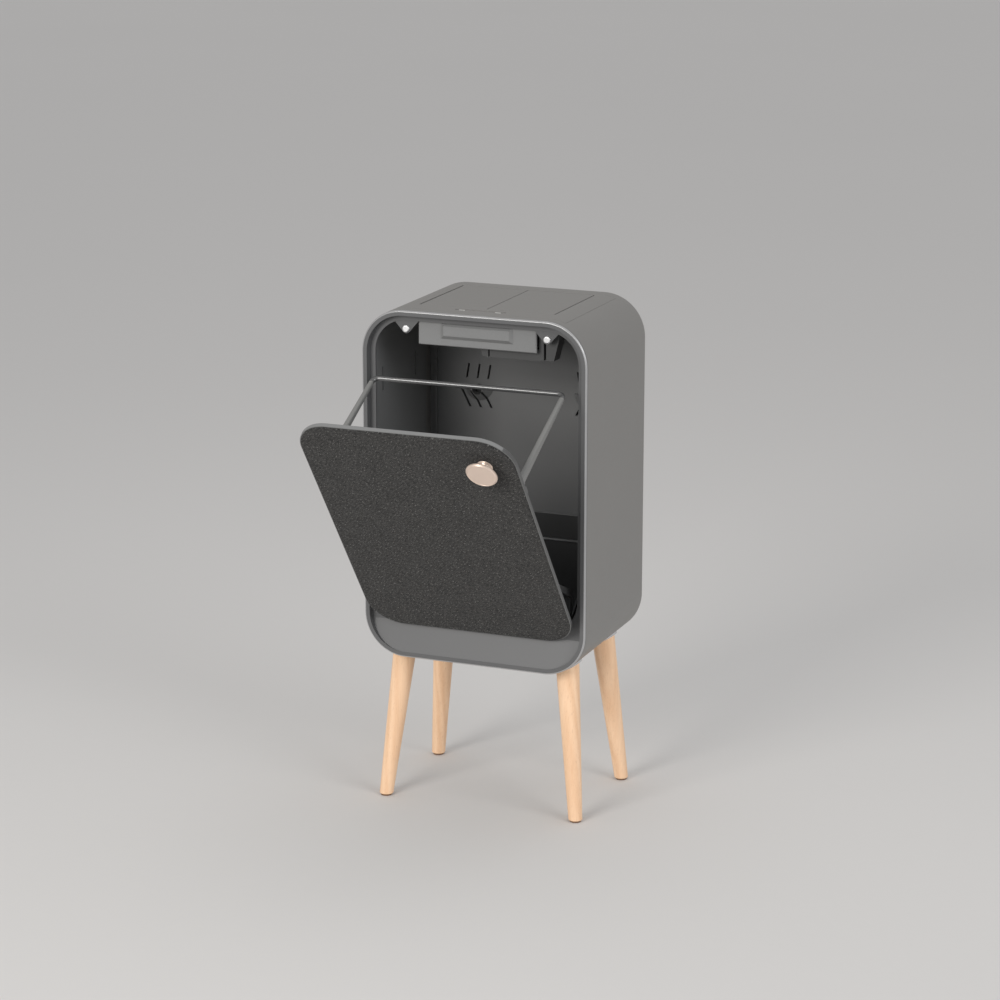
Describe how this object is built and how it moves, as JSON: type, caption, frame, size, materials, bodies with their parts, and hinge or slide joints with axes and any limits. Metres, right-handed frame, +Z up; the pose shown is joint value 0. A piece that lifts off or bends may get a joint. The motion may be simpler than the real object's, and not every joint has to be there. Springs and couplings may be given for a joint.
{
  "type": "sensor waste bin",
  "caption": "Upright sensor waste bin with rounded corners on splayed wooden legs, tilting cloth-faced front door with a bag ring and twin flaps in the top.",
  "frame": {"origin": "centre of the whole bin's plan box, with the door open, on the floor under the feet", "axes": "+Z up, +X to the right as seen from the front, +Y to the back"},
  "size_m": [0.25, 0.3684, 0.5382],
  "materials": {
    "shell_paint": "satin warm grey moulded shell",
    "bezel_grey": "satin mid grey bezel",
    "inner_dark": "dark grey inner moulding",
    "panel_grey": "light grey moulding",
    "cloth": "charcoal woven cloth",
    "rose_metal": "satin rose coloured metal",
    "ring_metal": "dark grey lacquered wire",
    "steel": "plain steel",
    "magnet": "bright plated magnet bead",
    "rubber_black": "black rubber",
    "wood_beech": "clear oiled beech",
    "lens": "dark smoked sensor window",
    "light": "frosted indicator",
    "board": "circuit board",
    "cell": "battery sleeve",
    "flange_metal": "dark grey metal flange"
  },
  "bodies": {
    "cabinet": {"body_shell": "shell_paint", "front_bezel": "bezel_grey", "rear_cover": "shell_paint", "rear_screws": "steel", "back_panel": "inner_dark", "side_liner_left": "inner_dark", "side_liner_right": "inner_dark", "drip_tray": "inner_dark", "door_magnets": "magnet", "hinge_brackets": "panel_grey", "hinge_pins": "steel", "door_stop_pads": "rubber_black", "lid_frame": "shell_paint", "lid_motors": "steel", "sensor_window": "lens", "indicator_lights": "light", "sensor_board": "board", "control_plate": "panel_grey", "battery_cover": "panel_grey", "control_box": "inner_dark", "circuit_board": "board", "batteries": "cell", "drive_cover": "inner_dark", "motor_clip": "inner_dark", "leg_front_left": "wood_beech", "leg_front_right": "wood_beech", "leg_rear_left": "wood_beech", "leg_rear_right": "wood_beech", "leg_flanges": "flange_metal", "leg_bolts": "steel", "leg_glides": "rubber_black", "flange_screws": "steel"},
    "door": {"door_panel": "panel_grey", "door_fabric": "cloth", "door_inner_panel": "panel_grey", "door_screws": "steel", "hinge_arms": "panel_grey", "strike_plates": "steel", "door_knob": "rose_metal", "knob_screw": "steel", "ring_sockets": "panel_grey", "socket_screws": "steel"},
    "ring": {"bag_ring": "ring_metal", "ring_sleeves": "ring_metal"},
    "left_flap": {"flap_left": "shell_paint", "flap_shafts_left": "steel"},
    "right_flap": {"flap_right": "shell_paint", "flap_shafts_right": "steel"},
    "switch": {"power_switch": "rubber_black"}
  },
  "joints": [
    {"name": "door_hinge", "type": "hinge", "parent": "cabinet", "child": "door", "pos_m": [0, 0.01953, 0.2083], "axis": [-1, 0, 0], "range_deg": [0, 36.8]},
    {"name": "ring_lift", "type": "slide", "parent": "door", "child": "ring", "axis": [0, -0.599, 0.8007], "range_m": [0, 0.015]},
    {"name": "right_flap_hinge", "type": "hinge", "parent": "cabinet", "child": "right_flap", "pos_m": [0.0728, 0.09293, 0.5308], "axis": [0, -1, 0], "range_deg": [0, 80]},
    {"name": "left_flap_hinge", "type": "hinge", "parent": "cabinet", "child": "left_flap", "pos_m": [-0.0728, 0.09293, 0.5308], "axis": [0, -1, 0], "range_deg": [-80, 0]},
    {"name": "power_slide", "type": "slide", "parent": "cabinet", "child": "switch", "axis": [1, 0, 0], "range_m": [0, 0.005]}
  ],
  "couplings": [
    {"joint": "left_flap_hinge", "follows": "right_flap_hinge", "ratio": -1}
  ]
}
